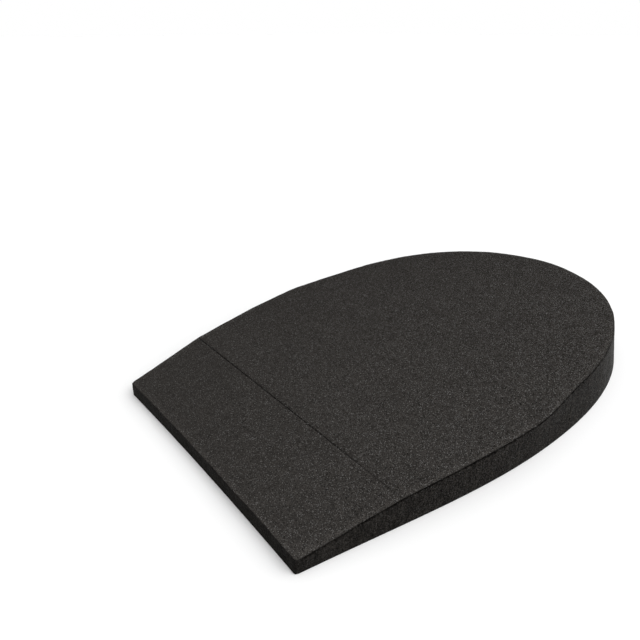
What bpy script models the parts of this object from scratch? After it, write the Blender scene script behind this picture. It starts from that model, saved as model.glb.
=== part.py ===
"""A heel lift: one wedge of fine closed-cell foam that lies under the heel inside a shoe.

Blender 4.5, metres, +Z up. +Y points from the thin front edge to the heel, and X is across.
The origin is on the underside, at the middle of the lift's length and width.
"""
import math

import bmesh
import bpy
from mathutils import Vector

# Plan of the underside
LENGTH = 0.100
FRONT_WIDTH = 0.050
WIDEST = 0.064
WIDEST_AT = 0.050
FRONT_HOLLOW = 0.0003
CORNER_RADIUS = 0.0010

# How the sides run from the front corner to the widest place and round the heel
SIDE_SPLAY = math.radians(10.2)
SIDE_PULL = 0.0200
WIDEST_FRONT_PULL = 0.0178
WIDEST_HEEL_PULL = 0.0452
HEEL_PULL = 0.0067

# Thickness along the middle
FRONT_THICK = 0.0025
TAPER_LENGTH = 0.0157
TAPER_THICK = 0.00525
HEEL_THICK = 0.0090
CROWN = 0.0005

# The walls come in towards the top: not at all beside the taper, and most at the heel
HEEL_LEAN = 0.22
FRONT_LEAN = 0.07
EDGE_ROUND = 0.00035

# How finely the round stretches are cut
FRONT_STEPS = 4
CORNER_STEPS = 5
SIDE_STEPS = 16
HEEL_STEPS = 40
EDGE_STEPS = 2
STRIP_DEPTH = 0.001
CORNER_FULLNESS = 0.55
SHARP_ANGLE = math.radians(30)

FOAM_COLOUR = (0.040, 0.038, 0.036, 1.0)
FOAM_ROUGHNESS = 0.92

FRONT_Y = -LENGTH / 2
TAPER_Y = FRONT_Y + TAPER_LENGTH
MERGE = 1e-6


def bezier(start, start_handle, end_handle, end, steps):
    """The points of one cubic curve after its first."""
    points = []
    for step in range(1, steps + 1):
        t = step / steps
        near = (1 - t) ** 3 * start + 3 * (1 - t) ** 2 * t * start_handle
        far = 3 * (1 - t) * t ** 2 * end_handle + t ** 3 * end
        points.append(near + far)
    return points


def front_edge():
    """The front edge from its middle towards the corner, very slightly hollow."""
    points = []
    for step in range(FRONT_STEPS):
        across = step / FRONT_STEPS
        hollow = FRONT_HOLLOW * (1 - across ** 2)
        points.append(Vector((across * FRONT_WIDTH / 2, FRONT_Y + hollow)))
    return points


def front_corner(along_side):
    """The small rounded corner between the front edge and the side."""
    corner = Vector((FRONT_WIDTH / 2, FRONT_Y))
    start = corner - Vector((CORNER_RADIUS, 0))
    end = corner + along_side * CORNER_RADIUS
    start_handle = start.lerp(corner, CORNER_FULLNESS)
    end_handle = end.lerp(corner, CORNER_FULLNESS)
    return [start] + bezier(start, start_handle, end_handle, end, CORNER_STEPS)


def half_plan():
    """The right half of the underside, from the middle of the front edge round to the heel."""
    along_side = Vector((math.sin(SIDE_SPLAY), math.cos(SIDE_SPLAY)))
    widest = Vector((WIDEST / 2, FRONT_Y + WIDEST_AT))
    heel = Vector((0, FRONT_Y + LENGTH))

    plan = front_edge() + front_corner(along_side)
    side_handle = plan[-1] + along_side * SIDE_PULL
    before_widest = widest - Vector((0, WIDEST_FRONT_PULL))
    plan += bezier(plan[-1], side_handle, before_widest, widest, SIDE_STEPS)
    after_widest = widest + Vector((0, WIDEST_HEEL_PULL))
    heel_handle = heel + Vector((HEEL_PULL, 0))
    plan += bezier(widest, after_widest, heel_handle, heel, HEEL_STEPS)
    return plan


def outward(plan, index):
    """The direction in plan that the wall faces at one point."""
    if index == 0:
        return Vector((0, -1))
    if index == len(plan) - 1:
        return Vector((0, 1))
    along = (plan[index + 1] - plan[index - 1]).normalized()
    return Vector((along.y, -along.x))


def thickness(y):
    """Height of the top: a straight taper at the front, then a gentle rise with a low crown."""
    if y < TAPER_Y:
        return FRONT_THICK + (TAPER_THICK - FRONT_THICK) * (y - FRONT_Y) / TAPER_LENGTH
    u = (y - TAPER_Y) / (LENGTH - TAPER_LENGTH)
    return TAPER_THICK + (HEEL_THICK - TAPER_THICK) * u + CROWN * 4 * u * (1 - u)


def wall_lean(y, facing):
    """How far the wall comes in for each metre that it goes up."""
    u = max(0, (y - TAPER_Y) / (LENGTH - TAPER_LENGTH))
    return HEEL_LEAN * u * u * (3 - 2 * u) + FRONT_LEAN * max(0, -facing.y)


def flat_half(plan):
    """The right half as a slab of even thickness with leaning walls."""
    bm = bmesh.new()
    lower = [bm.verts.new((point.x, point.y, 0)) for point in plan]
    underside = bm.faces.new(lower)
    grown = bmesh.ops.extrude_face_region(bm, geom=[underside], use_keep_orig=True)
    upper = [item for item in grown["geom"] if isinstance(item, bmesh.types.BMVert)]
    bmesh.ops.translate(bm, verts=upper, vec=(0, 0, HEEL_THICK))
    bmesh.ops.recalc_face_normals(bm, faces=bm.faces[:])

    for index, low in enumerate(lower):
        linked = [edge.other_vert(low) for edge in low.link_edges]
        high = next(vert for vert in linked if vert.co.z > 0)
        facing = outward(plan, index)
        inset = wall_lean(low.co.y, facing) * thickness(low.co.y)
        high.co.xy -= facing * inset
    return bm, upper


def shape_top(bm, rim):
    """Cut the flat top into strips straight across, and lower each to its thickness."""
    ends = sorted(vert.co.y for vert in rim)
    stations = [TAPER_Y]
    for y in ends:
        if stations[-1] + STRIP_DEPTH < y < ends[-1] - STRIP_DEPTH:
            stations.append(y)
    for y in stations:
        top = [face for face in bm.faces if all(vert.co.z > 0 for vert in face.verts)]
        edges = list({edge for face in top for edge in face.edges})
        verts = list({vert for face in top for vert in face.verts})
        cut = {"dist": MERGE, "plane_co": (0, y, 0), "plane_no": (0, 1, 0)}
        bmesh.ops.bisect_plane(bm, geom=verts + edges + top, **cut)
    for vert in bm.verts:
        if vert.co.z > 0:
            vert.co.z = thickness(vert.co.y)


def open_middle(bm):
    """Remove the wall where the half meets its mirror image."""
    middle = [face for face in bm.faces if all(abs(vert.co.x) < MERGE for vert in face.verts)]
    bmesh.ops.delete(bm, geom=middle, context="FACES_ONLY")


def foam_material():
    material = bpy.data.materials.new("charcoal_foam")
    material.use_nodes = True
    shader = material.node_tree.nodes["Principled BSDF"]
    shader.inputs["Base Color"].default_value = FOAM_COLOUR
    shader.inputs["Roughness"].default_value = FOAM_ROUGHNESS
    shader.inputs["Metallic"].default_value = 0.0
    material.diffuse_color = FOAM_COLOUR
    return material


def build_foam_wedge(collection):
    """The whole lift: the half wedge, its mirror image and lightly rounded edges."""
    bm, rim = flat_half(half_plan())
    shape_top(bm, rim)
    open_middle(bm)
    mesh = bpy.data.meshes.new("foam_wedge")
    bm.to_mesh(mesh)
    bm.free()
    mesh.shade_smooth()
    mesh.set_sharp_from_angle(angle=SHARP_ANGLE)
    mesh.materials.append(foam_material())

    wedge = bpy.data.objects.new("foam_wedge", mesh)
    collection.objects.link(wedge)
    mirror = wedge.modifiers.new("other half", "MIRROR")
    mirror.use_axis = (True, False, False)
    mirror.use_clip = True
    mirror.merge_threshold = MERGE
    rounding = wedge.modifiers.new("rounded edges", "BEVEL")
    rounding.limit_method = "ANGLE"
    rounding.angle_limit = SHARP_ANGLE
    rounding.width = EDGE_ROUND
    rounding.segments = EDGE_STEPS


for item in list(bpy.data.objects):
    bpy.data.objects.remove(item, do_unlink=True)
heel_lift = bpy.data.collections.new("heel_lift")
bpy.context.scene.collection.children.link(heel_lift)
build_foam_wedge(heel_lift)
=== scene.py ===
import math

import bmesh
import bpy
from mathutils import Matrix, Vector, kdtree, noise
from mathutils.geometry import interpolate_bezier


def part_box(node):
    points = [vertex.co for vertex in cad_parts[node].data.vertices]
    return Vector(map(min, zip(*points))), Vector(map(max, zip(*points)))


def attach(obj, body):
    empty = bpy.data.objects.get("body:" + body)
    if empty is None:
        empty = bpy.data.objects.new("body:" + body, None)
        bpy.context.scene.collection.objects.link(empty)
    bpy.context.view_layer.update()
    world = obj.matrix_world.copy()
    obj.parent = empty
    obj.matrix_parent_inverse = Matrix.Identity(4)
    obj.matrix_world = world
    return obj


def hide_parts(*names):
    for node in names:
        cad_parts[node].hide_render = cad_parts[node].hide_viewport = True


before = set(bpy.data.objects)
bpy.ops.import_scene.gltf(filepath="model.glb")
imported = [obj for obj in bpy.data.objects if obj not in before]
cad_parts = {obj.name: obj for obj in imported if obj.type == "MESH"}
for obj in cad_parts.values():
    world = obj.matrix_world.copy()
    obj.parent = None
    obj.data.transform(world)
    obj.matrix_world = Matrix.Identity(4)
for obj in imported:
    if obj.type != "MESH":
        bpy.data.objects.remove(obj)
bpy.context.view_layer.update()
mm = 0.001
print("frame loaded:", sorted(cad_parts))

# the foam wedge. Its x and y run from the middle of the underside, and a pair of numbers is a
# stretch that something changes over
wedgeLow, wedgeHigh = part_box("foam_wedge")
lift = {
    # plan
    "frontY": wedgeLow.y,
    "heelY": wedgeHigh.y,
    "halfWide": wedgeHigh.x,
    "frontWide": 50 * mm,
    "widestBack": 50 * mm,       # from the front edge
    "frontHollow": 0.3 * mm,
    "cornerRadius": 0.4 * mm,
    "cornerFullness": 0.55,
    "sideSplay": math.radians(10.2),
    "sidePull": 20 * mm,
    "widestFrontPull": 17.8 * mm,
    "widestHeelPull": 45.2 * mm,
    "heelPull": 6.7 * mm,
    # thickness
    "frontThick": 2.5 * mm,
    "taperLong": 15.7 * mm,
    "taperThick": 5.25 * mm,
    "heelThick": wedgeHigh.z,
    "crown": 0.5 * mm,
    # how far the walls come in for each metre up
    "frontLean": 0.07,           # at the front edge
    "sideLean": 0.16,            # from about the widest place back
    "sideLeanY": (-10 * mm, 6 * mm),
    "heelLean": 0.055,           # and this much more round the heel
    "heelLeanY": (6 * mm, 40 * mm),
    # the skive line across the top, a shallow groove darkened with painted shade, which goes faint towards
    # one side
    "lineHalf": 0.16 * mm,
    "lineDeep": 0.18 * mm,
    "lineUsual": 0.95,
    "lineFaint": 0.55,
    "lineFadeX": (10 * mm, 24 * mm),
    # the thin slit that the knife left under the top edge, as shares of its depth. Its darkness is painted
    # shade
    "slitDeep": 0.35 * mm,
    "bite": 0.9,
    "biteMost": 1.3,
    "biteStart": (0.5 * mm, 2 * mm),     # behind the front edge
    "biteTaper": 0.5,
    "biteFull": (8 * mm, 30 * mm),       # behind the front edge too
    "biteHeel": 0.3,
    "biteHeelY": (8 * mm, 24 * mm),
    # the painted highlight along the top edge, and the brighter stretch of it behind one front corner
    "rimWide": 0.8 * mm,
    "cornerHighlightWide": (0.15 * mm, 0.5 * mm),
    "cornerHighlightLong": (2 * mm, 16 * mm),
    "cornerHighlightX": (20 * mm, 24 * mm),
    # how uneven it all is. Each ripple is layers of noise, with a height, the width of its swells
    # and a seed
    "edgeWander": 0.09 * mm,
    "wanderDeep": 1.2 * mm,
    "topSwell": 0.03 * mm,
    "wallSwell": 0.06 * mm,
    "wallSwellZ": (0, 1.5 * mm),
    "biteRipple": ((0.6, 9 * mm, 3), (0.6, 2.2 * mm, 7)),
    "wanderRipple": ((1, 5 * mm, 11), (0.5, 1.4 * mm, 13), (0.3, 0.7 * mm, 19)),
    "lineRipple": ((0.15, 3 * mm, 17), (0.25, 0.9 * mm, 41)),
    "topRipple": ((1, 11 * mm, 23),),
    "wallRipple": ((1, 4 * mm, 29), (0.4, 1.3 * mm, 31)),
    # the rows of the edge's section near the top, in mm below it: each with its share of the
    # slit's depth, and then each with how far in it lies
    "edgeBand": 0.80 * mm,
    "slitRows": (
        (0.6, 0.02), (0.48, 0.08), (0.42, 0.35), (0.37, 0.85), (0.3, 1), (0.2, 1), (0.14, 0.8),
    ),
    "rimRows": ((0.11, 0), (0.06, 0.005), (0.02, 0.02), (0, 0.05), (0, 0.12), (0, 0.3)),
    # the rows below them, and the small round at the floor
    "wallRows": 9,
    "roundRows": 4,
    "lowerRound": 0.2 * mm,
    # how many quads, and how finely the outline is drawn before they are spaced
    "across": 150,               # along the front edge, and round the heel
    "taperRows": 36,
    "sideRows": 150,
    "heelShare": 0.31,           # of the outline behind the skive line, on each side
    "edgePoints": 64,
    "cornerPoints": 33,
    "sidePoints": 400,
    "heelPoints": 900,
    "restPoints": 1000,
    # how far forward a wall faces for the painted shade on the front wall, how far up the top does, and
    # how little a wall does
    "frontFacing": (0.4, 0.9),
    "topFacing": (0.3, 0.9),
    "wallFacing": 0.5,
    "sharpAngle": math.radians(50),
}


def evenly(points, count):
    # the same line with its points evenly spaced
    reach = [0.0]
    for here, there in zip(points, points[1:]):
        reach.append(reach[-1] + (there - here).length)
    spaced, step = [points[0]], 1
    for number in range(1, count):
        want = reach[-1] * number / count
        while reach[step] < want:
            step += 1
        share = (want - reach[step - 1]) / (reach[step] - reach[step - 1])
        spaced.append(points[step - 1].lerp(points[step], share))
    return spaced + [points[-1]]


def cutAtY(points, y):
    # a line that runs towards the heel, in two parts that meet at y
    for number, (here, there) in enumerate(zip(points, points[1:])):
        if here.y <= y <= there.y:
            at = here.lerp(there, (y - here.y) / (there.y - here.y))
            return points[:number + 1] + [at], [at] + points[number + 1:]


def softStep(value, low, high):
    u = min(max((value - low) / (high - low), 0), 1)
    return u * u * (3 - 2 * u)


def ripple(place, layers):
    # smooth noise about zero, with swells about as wide as each layer's size
    total = 0
    for height, size, seed in layers:
        total += height * noise.noise(place / size + Vector((seed, 0.5 * seed, 0)))
    return total


def thickness(y):
    back = y - lift["frontY"]
    if back < lift["taperLong"]:
        rise = lift["taperThick"] - lift["frontThick"]
        return lift["frontThick"] + rise * max(back, 0) / lift["taperLong"]
    u = (back - lift["taperLong"]) / (lift["heelY"] - lift["frontY"] - lift["taperLong"])
    rise = lift["heelThick"] - lift["taperThick"]
    return lift["taperThick"] + rise * u + lift["crown"] * 4 * u * (1 - u)


def halfOutline():
    # the right half of the plan as two fine lines that meet in the middle of the front corner
    front = lift["frontY"]
    along = Vector((math.sin(lift["sideSplay"]), math.cos(lift["sideSplay"]), 0))
    corner = Vector((lift["frontWide"] / 2, front, 0))
    before = corner - Vector((lift["cornerRadius"], 0, 0))
    after = corner + along * lift["cornerRadius"]
    widest = Vector((lift["halfWide"], front + lift["widestBack"], 0))
    tip = Vector((0, lift["heelY"], 0))

    edge = []
    for number in range(lift["edgePoints"]):
        share = number / lift["edgePoints"]
        edge.append(Vector((share * before.x, front + lift["frontHollow"] * (1 - share ** 2), 0)))
    intoTurn = before.lerp(corner, lift["cornerFullness"])
    outOfTurn = after.lerp(corner, lift["cornerFullness"])
    turn = interpolate_bezier(before, intoTurn, outOfTurn, after, lift["cornerPoints"])
    sideHandle = after + along * lift["sidePull"]
    beforeWidest = widest - Vector((0, lift["widestFrontPull"], 0))
    side = interpolate_bezier(after, sideHandle, beforeWidest, widest, lift["sidePoints"])
    afterWidest = widest + Vector((0, lift["widestHeelPull"], 0))
    heelHandle = tip + Vector((lift["heelPull"], 0, 0))
    heel = interpolate_bezier(widest, afterWidest, heelHandle, tip, lift["heelPoints"])
    middle = lift["cornerPoints"] // 2
    return edge + turn[:middle + 1], turn[middle:] + side[1:] + heel[1:]


def outlineRing():
    # the whole outline, counter-clockwise from the left front corner
    frontHalf, sideHalf = halfOutline()
    lineY = lift["frontY"] + lift["taperLong"]
    taper, rest = cutAtY(sideHalf, lineY - lift["lineHalf"])
    toLine, rest = cutAtY(rest, lineY)
    fromLine, rest = cutAtY(rest, lineY + lift["lineHalf"])
    rest = evenly(rest, lift["restPoints"])
    heelStart = int(lift["restPoints"] * (1 - lift["heelShare"]))

    half = lift["across"] // 2
    right = evenly(frontHalf, half) + evenly(taper, lift["taperRows"])[1:]
    right += [toLine[-1], fromLine[-1]]
    right += evenly(rest[:heelStart + 1], lift["sideRows"])[1:]
    right += evenly(rest[heelStart:], half)[1:]
    left = [Vector((-point.x, point.y, 0)) for point in reversed(right[1:-1])]
    ring = right + left
    return ring[-half:] + ring[:-half]


def wallDirections(plan):
    # the way that the wall faces at each point of the outline
    directions = []
    for number in range(len(plan)):
        along = (plan[(number + 1) % len(plan)] - plan[number - 1]).normalized()
        directions.append(Vector((along.y, -along.x, 0)))
    return directions


def sectionRows():
    # the edge's section from the underside to the top face. A row's height is measured up from
    # the underside, as a share of the wall, or down from the top; then come how far in it lies
    # and its share of the slit's depth
    rows = []
    for number in range(1, lift["roundRows"] + 1):
        angle = math.radians(90 * number / lift["roundRows"])
        height = lift["lowerRound"] * (1 - math.cos(angle))
        rows.append(("up", height, lift["lowerRound"] * (1 - math.sin(angle)), 0))
    for number in range(1, lift["wallRows"] + 1):
        rows.append(("wall", number / (lift["wallRows"] + 1), 0, 0))
    rows.append(("down", lift["edgeBand"], 0, 0))
    for drop, share in lift["slitRows"]:
        rows.append(("down", drop * mm, 0, share))
    for drop, inward in lift["rimRows"]:
        rows.append(("down", drop * mm, inward * mm, 0))
    return rows


def knifeBite(plan):
    # the knife ran in unevenly: not at the thin front, less beside the taper and round the heel
    back = plan.y - lift["frontY"]
    bite = lift["bite"] + ripple(plan, lift["biteRipple"])
    bite *= softStep(back, *lift["biteStart"])
    bite *= lift["biteTaper"] + (1 - lift["biteTaper"]) * softStep(back, *lift["biteFull"])
    bite *= 1 - (1 - lift["biteHeel"]) * softStep(plan.y, *lift["biteHeelY"])
    return min(max(bite, 0), lift["biteMost"])


def sectionPoint(plan, outward, row):
    kind, amount, inward, slit = row
    lean = lift["sideLean"] * softStep(plan.y, *lift["sideLeanY"])
    lean += lift["heelLean"] * softStep(plan.y, *lift["heelLeanY"])
    lean += lift["frontLean"] * max(0, -outward.y)
    top = thickness((plan - outward * lean * thickness(plan.y)).y)
    if kind == "up":
        height = amount
    elif kind == "wall":
        low = lift["lowerRound"]
        height = low + (top - lift["edgeBand"] - low) * amount
    else:
        height = top - amount
    wander = lift["edgeWander"] * ripple(plan, lift["wanderRipple"])
    inward += slit * lift["slitDeep"] * knifeBite(plan)
    inward += wander * softStep(height, top - lift["wanderDeep"], top)
    place = plan - outward * (lean * height + inward)
    place.z = height
    return place


def raiseWall(bm, plan, turn, masks):
    # the underside, and the edge's section row by row up to the rim, which it gives back in order
    outward = wallDirections(plan)
    lowest = []
    for number, point in enumerate(plan):
        vert = bm.verts.new(point - outward[number] * lift["lowerRound"])
        vert[turn] = number
        lowest.append(vert)
    edges = [bm.edges.new((lowest[number - 1], lowest[number])) for number in range(len(plan))]
    bmesh.ops.contextual_create(bm, geom=edges)

    for row in sectionRows():
        made = bmesh.ops.extrude_edge_only(bm, edges=edges)["geom"]
        fresh = {item for item in made if isinstance(item, bmesh.types.BMVert)}
        for vert in fresh:
            point, facing = plan[vert[turn]], outward[vert[turn]]
            vert.co = sectionPoint(point, facing, row)
            vert[masks["slit"]] = row[3] * knifeBite(point)
            # painted shade on walls that face forward, away from the light
            vert[masks["frontWallShade"]] = softStep(-facing.y, *lift["frontFacing"])
        edges = [
            item for item in made
            if isinstance(item, bmesh.types.BMEdge) and fresh.issuperset(item.verts)
        ]
    print("edge section:", len(sectionRows()), "rows round", len(plan), "verts")
    return sorted(fresh, key=lambda vert: vert[turn])


def edgeBetween(here, there):
    return next(edge for edge in here.link_edges if edge.other_vert(here) == there)


def chain(ring, first, last):
    # the edges round part of a ring of verts
    return [edgeBetween(ring[n % len(ring)], ring[(n + 1) % len(ring)]) for n in range(first, last)]


def rowAcross(bm, right, left):
    # a straight row of edges across the top, between two verts of the rim
    rest = bm.edges.new((right, left))
    row, start = [], right
    for share in range(lift["across"], 1, -1):
        edge, start = bmesh.utils.edge_split(rest, start, 1 / share)
        row.append(edge)
    return row + [rest]


def fillTop(bm, rim):
    # the taper, the skive line and the seat behind it, each as a grid between two rows
    across, taper, side = lift["across"], lift["taperRows"], lift["sideRows"]
    lineRight = across + taper
    heelRight = lineRight + 2 + side
    lineLeft = heelRight + across + side + 2
    front, line, back = (rowAcross(bm, rim[lineRight + n], rim[lineLeft - n]) for n in range(3))
    lineVerts = {vert for edge in line for vert in edge.verts}
    # the two thin strips come first, so that each grid finds its own sides
    bmesh.ops.bridge_loops(bm, edges=front + line)
    bmesh.ops.bridge_loops(bm, edges=line + back)
    bmesh.ops.grid_fill(bm, edges=chain(rim, 0, across) + front)
    bmesh.ops.grid_fill(bm, edges=back + chain(rim, heelRight, heelRight + across))
    return lineVerts


# a painted highlight along the top edge, stronger behind one front corner
def paintRimHighlight(verts, rim, rimHighlight):
    points = kdtree.KDTree(len(rim))
    for number, vert in enumerate(rim):
        points.insert(vert.co, number)
    points.balance()
    for vert in verts:
        near = points.find(vert.co)[2]
        cornerHighlight = 1 - softStep(vert.co.y - lift["frontY"], *lift["cornerHighlightLong"])
        cornerHighlight *= 1 - softStep(near, *lift["cornerHighlightWide"])
        cornerHighlight *= softStep(vert.co.x, *lift["cornerHighlightX"])
        vert[rimHighlight] = 1 - softStep(near, 0, lift["rimWide"]) + cornerHighlight


# the skive line's groove, and its mask for the painted shade in it
def sinkLine(verts, skiveLine):
    for vert in verts:
        fade = 1 - (1 - lift["lineFaint"]) * softStep(vert.co.x, *lift["lineFadeX"])
        fade *= lift["lineUsual"] + ripple(vert.co, lift["lineRipple"])
        vert[skiveLine] = fade
        vert.co.z -= lift["lineDeep"] * fade


def swellFoam(bm):
    # the skived top and the cut walls swell a little, and the underside stays flat
    swell = {}
    for vert in bm.verts:
        if vert.co.z < lift["lowerRound"] / 2:
            continue
        up = softStep(vert.normal.z, *lift["topFacing"])
        top = lift["topSwell"] * ripple(vert.co, lift["topRipple"])
        wall = lift["wallSwell"] * ripple(vert.co, lift["wallRipple"])
        wall *= softStep(vert.co.z, *lift["wallSwellZ"])
        swell[vert] = vert.normal * (top * up + wall * (1 - up))
    for vert, push in swell.items():
        vert.co += push


def isCutOrShadedWall(face, slit):
    steep = abs(face.normal.z) < lift["wallFacing"]
    return steep or any(vert[slit] > 0 for vert in face.verts)


def buildLift():
    bm = bmesh.new()
    turn = bm.verts.layers.int.new("turn")
    masks = {}
    for name in ("rimHighlight", "skiveLine", "slit", "frontWallShade"):
        masks[name] = bm.verts.layers.float.new(name)

    rim = raiseWall(bm, outlineRing(), turn, masks)
    walls = set(bm.verts)
    lineVerts = fillTop(bm, rim)
    inner = set(bm.verts) - walls
    for vert in inner:
        vert.co.z = thickness(vert.co.y)
    paintRimHighlight(inner.union(rim), rim, masks["rimHighlight"])
    sinkLine(lineVerts, masks["skiveLine"])
    bmesh.ops.recalc_face_normals(bm, faces=bm.faces[:])
    bm.normal_update()
    swellFoam(bm)
    print("closed:", all(edge.is_manifold for edge in bm.edges), "quads:", len(bm.faces))

    for face in bm.faces:
        face.smooth = True
        # steep faces and the slit take the darker cut-wall finish, whose darkness is partly painted shade
        face.material_index = int(isCutOrShadedWall(face, masks["slit"]))
    mesh = bpy.data.meshes.new("foam_lift")
    bm.to_mesh(mesh)
    bm.free()
    mesh.set_sharp_from_angle(angle=lift["sharpAngle"])
    piece = bpy.data.objects.new("foam_lift", mesh)
    bpy.context.scene.collection.objects.link(piece)
    return piece


# shader building
def addNode(tree, kind, inputs=None, **settings):
    made = tree.nodes.new(kind)
    for name, value in settings.items():
        setattr(made, name, value)
    for name, value in (inputs or {}).items():
        if isinstance(value, bpy.types.NodeSocket):
            tree.links.new(value, made.inputs[name])
        else:
            made.inputs[name].default_value = value
    return made


def mathNode(tree, operation, first, second=0.0, third=0.0):
    inputs = {0: first, 1: second, 2: third}
    return addNode(tree, "ShaderNodeMath", inputs, operation=operation).outputs[0]


def remap(tree, value, fromLow, fromHigh, toLow=0.0, toHigh=1.0):
    inputs = {"Value": value, "From Min": fromLow, "From Max": fromHigh, "To Min": toLow, "To Max": toHigh}
    return addNode(tree, "ShaderNodeMapRange", inputs).outputs[0]


def newGroup(name, inputs, outputs):
    group = bpy.data.node_groups.new(name, "ShaderNodeTree")
    for title, kind, value in inputs:
        socket = group.interface.new_socket(title, in_out="INPUT", socket_type=kind)
        if value is not None:
            socket.default_value = value
    for title, kind in outputs:
        group.interface.new_socket(title, in_out="OUTPUT", socket_type=kind)
    return group, addNode(group, "NodeGroupInput").outputs, addNode(group, "NodeGroupOutput").inputs


# the foam's cut cells. A cell has a random colour, which picks the few pits and glints, and both
# fade from the cell's middle outwards. The glints are painted highlights
cells = {
    "wider": 0.65,               # cells per metre of the wide cells and the cloud, for each fine one
    "cloudDetail": 2.0,
    "cloudRoughness": 0.7,
    "cloudSpan": (0.3, 0.7),
    "cloudTone": 0.2,
    "fineTone": 0.8,
    "pitPick": (0.8, 0.84),
    "pitFade": (0.45, 0.25),
    "pitTone": -0.5,
    "pitRelief": -0.6,
    "glintPick": (0.92, 0.94),
    "glintFade": (0.7, 0.4),
    "mottleCloser": 3.7,         # the small cloud's scale against the broad one's
    "mottleDetail": 2.0,
    "mottleSpan": (0.6, 1.4),
}


def foamGrainGroup():
    # cut closed cells: a fine uneven tone, sparse painted glints and dark pits, and their relief
    group, given, result = newGroup(
        "foamGrain",
        [("Place", "NodeSocketVector", None), ("Cells per metre", "NodeSocketFloat", 5000.0)],
        [("Tone", "NodeSocketFloat"), ("Glint", "NodeSocketFloat"), ("Relief", "NodeSocketFloat")],
    )
    place, size = given["Place"], given["Cells per metre"]
    coarse = mathNode(group, "MULTIPLY", size, cells["wider"])
    fine = addNode(group, "ShaderNodeTexVoronoi", {"Vector": place, "Scale": size}, feature="F1")
    tint = addNode(group, "ShaderNodeSeparateColor", {"Color": fine.outputs["Color"]})
    wide = addNode(group, "ShaderNodeTexVoronoi", {"Vector": place, "Scale": coarse}, feature="F1")
    wideTint = addNode(group, "ShaderNodeSeparateColor", {"Color": wide.outputs["Color"]})
    cloudInputs = {
        "Vector": place, "Scale": coarse,
        "Detail": cells["cloudDetail"], "Roughness": cells["cloudRoughness"],
    }
    cloud = addNode(group, "ShaderNodeTexNoise", cloudInputs).outputs[0]

    pitPick = remap(group, wideTint.outputs[2], *cells["pitPick"])
    pitFade = remap(group, wide.outputs["Distance"], *cells["pitFade"])
    pit = mathNode(group, "MULTIPLY", pitPick, pitFade)
    glintPick = remap(group, tint.outputs[1], *cells["glintPick"])
    glintFade = remap(group, fine.outputs["Distance"], *cells["glintFade"])
    glint = mathNode(group, "MULTIPLY", glintPick, glintFade)
    cloudTone = remap(group, cloud, *cells["cloudSpan"], -cells["cloudTone"], cells["cloudTone"])
    fineTone = remap(group, tint.outputs[0], 0, 1, -cells["fineTone"], cells["fineTone"])
    tone = mathNode(group, "ADD", fineTone, cloudTone)
    tone = mathNode(group, "MULTIPLY_ADD", pit, cells["pitTone"], tone)
    relief = mathNode(group, "MULTIPLY_ADD", pit, cells["pitRelief"], cloud)
    group.links.new(tone, result["Tone"])
    group.links.new(glint, result["Glint"])
    group.links.new(relief, result["Relief"])
    return group


def foamMottleGroup():
    # slow light and dark patches, from two sizes of cloud
    group, given, result = newGroup(
        "foamMottle",
        [("Place", "NodeSocketVector", None), ("Patches per metre", "NodeSocketFloat", 200.0)],
        [("Patches", "NodeSocketFloat")],
    )
    scale = given["Patches per metre"]
    clouds = []
    for size in (scale, mathNode(group, "MULTIPLY", scale, cells["mottleCloser"])):
        inputs = {"Vector": given["Place"], "Scale": size, "Detail": cells["mottleDetail"]}
        clouds.append(addNode(group, "ShaderNodeTexNoise", inputs).outputs[0])
    both = mathNode(group, "ADD", clouds[0], clouds[1])
    group.links.new(remap(group, both, *cells["mottleSpan"], -1, 1), result["Patches"])
    return group


foamGrain = foamGrainGroup()
foamMottle = foamMottleGroup()

# the two finishes. The cut wall's much darker colour is partly the cut foam's own and partly
# painted shade. The grain is stronger at the heel than at the front and, on the top, towards
# +X, where the top is also a little lighter, which is painted light. Relief is the height of the grain
foamLook = {
    "skivedTop": {
        "colour": (0.0310, 0.0286, 0.0265), "cells": 10500.0, "grainFront": 0.70, "grainHeel": 1.4,
        "grainSide": 0.2, "glint": 0.145, "paintedSideLight": 0.09, "heelTone": 0.86, "frontPaintedShade": 1.0,
        "patches": 130.0, "patchDepth": 0.08, "patchRelief": 0.0, "stretch": 1.0, "relief": 0.04 * mm,
        "roughness": 0.9, "roughnessVary": 0.0, "specular": 0.0,
    },
    "cutWallAndShade": {
        "colour": (0.0128, 0.0117, 0.0106), "cells": 7500.0, "grainFront": 0.8, "grainHeel": 3.9,
        "grainSide": 0.0, "glint": 0.024, "paintedSideLight": 0.0, "heelTone": 0.80, "frontPaintedShade": 0.84,
        "patches": 800.0, "patchDepth": 0.65, "patchRelief": 0.5, "stretch": 0.4, "relief": 0.10 * mm,
        "roughness": 0.38, "roughnessVary": 0.15, "specular": 0.004,
    },
}

# what both finishes share: tones are shares of the foam's own
foamMarks = {
    "darkest": 0.12,
    # the rim's tone is a painted highlight, and the line's and the slit's tones are painted shade in their
    # hollows
    "rimHighlightTone": 1.25,
    "linePaintedShade": 0.12,
    "slitPaintedShade": 0.12,
    "slitRough": 0.5,
    "slitFull": 0.5,             # the share of the slit's depth from which it is fully dark
    "sheenTint": (1.0, 0.93, 0.87, 1.0),
}


def patternNode(tree, group, place, name, value):
    made = addNode(tree, "ShaderNodeGroup", node_tree=group)
    tree.links.new(place, made.inputs["Place"])
    made.inputs[name].default_value = value
    return made.outputs


def maskNode(tree, name):
    return addNode(tree, "ShaderNodeAttribute", attribute_name=name).outputs["Fac"]


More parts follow.
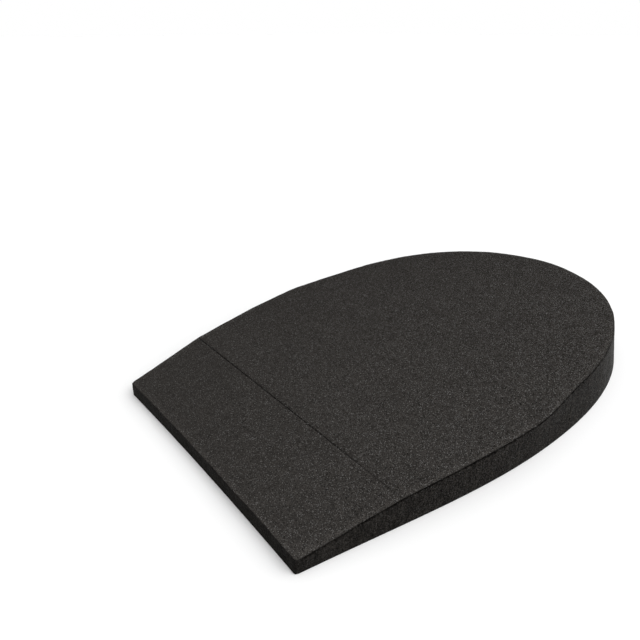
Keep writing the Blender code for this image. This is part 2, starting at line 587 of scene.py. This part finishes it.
def foamMaterial(name):
    look = foamLook[name]
    material = bpy.data.materials.new(name)
    material.use_nodes = True
    tree = material.node_tree
    shader = tree.nodes["Principled BSDF"]
    place = addNode(tree, "ShaderNodeTexCoord").outputs["Object"]
    grain = patternNode(tree, foamGrain, place, "Cells per metre", look["cells"])
    dragged = addNode(tree, "ShaderNodeMapping", {"Vector": place, "Scale": (1, 1, look["stretch"])})
    mottle = patternNode(tree, foamMottle, dragged.outputs[0], "Patches per metre", look["patches"])

    # how strong the grain is, and the tone that it gives
    along = addNode(tree, "ShaderNodeSeparateXYZ", {"Vector": place}).outputs
    wide, front, heel = lift["halfWide"], lift["frontY"], lift["heelY"]
    coarser = remap(tree, along["Y"], front, heel, look["grainFront"], look["grainHeel"])
    grainSide = remap(tree, along["X"], -wide, wide, 1 - look["grainSide"], 1 + look["grainSide"])
    coarser = mathNode(tree, "MULTIPLY", coarser, grainSide)
    shade = mathNode(tree, "MULTIPLY_ADD", grain["Tone"], coarser, 1)
    shade = mathNode(tree, "MAXIMUM", shade, foamMarks["darkest"])

    # the slow changes over the lift, then the painted highlight along the rim, and the painted shade in
    # the skive line and the knife's slit
    slit = maskNode(tree, "slit")
    tones = [
        # painted light: lighter towards +X
        remap(tree, along["X"], -wide, wide, 1 - look["paintedSideLight"], 1 + look["paintedSideLight"]),
        # darker towards the heel: on the cut wall this is painted shade, and on the top it offsets the
        # stronger glints there
        remap(tree, along["Y"], front + lift["taperLong"], heel, 1, look["heelTone"]),
        remap(tree, maskNode(tree, "frontWallShade"), 0, 1, 1, look["frontPaintedShade"]),
        mathNode(tree, "MULTIPLY_ADD", mottle["Patches"], look["patchDepth"], 1),
        remap(tree, maskNode(tree, "rimHighlight"), 0, 1, 1, foamMarks["rimHighlightTone"]),
        remap(tree, maskNode(tree, "skiveLine"), 0, 1, 1, foamMarks["linePaintedShade"]),
        remap(tree, slit, 0, foamMarks["slitFull"], 1, foamMarks["slitPaintedShade"]),
    ]
    for tone in tones:
        shade = mathNode(tree, "MULTIPLY", shade, tone)
    toned = addNode(tree, "ShaderNodeVectorMath", {0: look["colour"], "Scale": shade}, operation="SCALE")
    # the glints are painted highlights added to the colour
    glow = mathNode(tree, "MULTIPLY", mathNode(tree, "MULTIPLY", grain["Glint"], coarser), look["glint"])
    bright = addNode(tree, "ShaderNodeVectorMath", {0: toned.outputs[0], 1: glow}, operation="ADD")
    tree.links.new(bright.outputs[0], shader.inputs["Base Color"])

    rough = mathNode(tree, "MULTIPLY_ADD", mottle["Patches"], look["roughnessVary"], look["roughness"])
    slitRough = remap(tree, slit, 0, foamMarks["slitFull"], 0, foamMarks["slitRough"])
    rough = mathNode(tree, "ADD", rough, slitRough)
    tree.links.new(rough, shader.inputs["Roughness"])
    height = mathNode(tree, "MULTIPLY_ADD", mottle["Patches"], look["patchRelief"], grain["Relief"])
    bump = addNode(tree, "ShaderNodeBump", {"Height": height, "Distance": look["relief"], "Strength": 1.0})
    tree.links.new(bump.outputs[0], shader.inputs["Normal"])
    shader.inputs["Metallic"].default_value = 0.0
    shader.inputs["Specular IOR Level"].default_value = look["specular"]
    shader.inputs["Specular Tint"].default_value = foamMarks["sheenTint"]
    return material


foamLift = buildLift()
for name in foamLook:
    foamLift.data.materials.append(foamMaterial(name))
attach(foamLift, "root")
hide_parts("foam_wedge")
print("foam lift built")

# floor, lights and camera
studio = {
    "floorHalf": 4.0,
    "floorTone": 0.92,
    "backdrop": 1.0,
    "skyLow": 0.122,             # a dome of soft light, dim on its far side
    "skyRise": 2.2,
    "skyGather": 4.0,            # how closely the light gathers round the bright side
    "brightAzimuth": math.radians(20),
    "brightHeight": math.radians(50),
    "keyStrength": 0.37,
    "keySoftness": math.radians(30),
    "white": (1, 1, 1, 1),
}


def towards(azimuth, height):
    level = math.cos(height)
    return Vector((math.cos(azimuth) * level, math.sin(azimuth) * level, math.sin(height)))


def buildFloor():
    bm = bmesh.new()
    bmesh.ops.create_grid(bm, x_segments=1, y_segments=1, size=studio["floorHalf"])
    mesh = bpy.data.meshes.new("floor")
    bm.to_mesh(mesh)
    bm.free()
    floor = bpy.data.objects.new("floor", mesh)
    bpy.context.scene.collection.objects.link(floor)
    material = bpy.data.materials.new("paleFloor")
    material.use_nodes = True
    shader = material.node_tree.nodes["Principled BSDF"]
    tone = studio["floorTone"]
    shader.inputs["Base Color"].default_value = (tone, tone, tone, 1)
    shader.inputs["Roughness"].default_value = 1.0
    shader.inputs["Specular IOR Level"].default_value = 0.0
    mesh.materials.append(material)


def buildKey():
    light = bpy.data.lights.new("key", "SUN")
    light.energy = studio["keyStrength"]
    light.angle = studio["keySoftness"]
    key = bpy.data.objects.new("key", light)
    bpy.context.scene.collection.objects.link(key)
    aim = towards(studio["brightAzimuth"], studio["brightHeight"])
    key.rotation_euler = aim.to_track_quat("Z", "Y").to_euler()


def buildWorld():
    # the dome lights the lift, and the camera sees a plain backdrop in its place
    world = bpy.data.worlds.new("studio")
    bpy.context.scene.world = world
    world.use_nodes = True
    tree = world.node_tree
    tree.nodes.clear()
    seen = addNode(tree, "ShaderNodeLightPath").outputs["Is Camera Ray"]
    aim = towards(studio["brightAzimuth"], studio["brightHeight"])
    ray = addNode(tree, "ShaderNodeTexCoord").outputs["Generated"]
    facing = addNode(tree, "ShaderNodeVectorMath", {0: ray, 1: aim}, operation="DOT_PRODUCT")
    near = remap(tree, facing.outputs["Value"], -1, 1)
    glow = mathNode(tree, "POWER", near, studio["skyGather"])
    glow = remap(tree, glow, 0, 1, studio["skyLow"], studio["skyLow"] + studio["skyRise"])
    dome = addNode(tree, "ShaderNodeBackground", {"Color": studio["white"], "Strength": glow})
    plain = {"Color": studio["white"], "Strength": studio["backdrop"]}
    backdrop = addNode(tree, "ShaderNodeBackground", plain)
    mixed = addNode(tree, "ShaderNodeMixShader", {0: seen, 1: dome.outputs[0], 2: backdrop.outputs[0]})
    addNode(tree, "ShaderNodeOutputWorld", {"Surface": mixed.outputs[0]})


eye = {
    "place": Vector((62.66, -76.93, 60.58)) * mm,
    "down": math.radians(27.89),
    "turn": math.radians(50.59),
    "lens": 31.22,
    "sensor": 36,
    "nearest": 0.005,
    "farthest": 20,
}


def buildCamera():
    data = bpy.data.cameras.new("camera")
    data.lens = eye["lens"]
    data.sensor_width = eye["sensor"]
    data.clip_start = eye["nearest"]
    data.clip_end = eye["farthest"]
    camera = bpy.data.objects.new("camera", data)
    camera.location = eye["place"]
    camera.rotation_euler = (math.pi / 2 - eye["down"], 0, eye["turn"])
    bpy.context.scene.collection.objects.link(camera)
    bpy.context.scene.camera = camera


buildFloor()
buildKey()
buildWorld()
buildCamera()
bpy.context.scene.view_settings.view_transform = "Standard"
print("studio built")
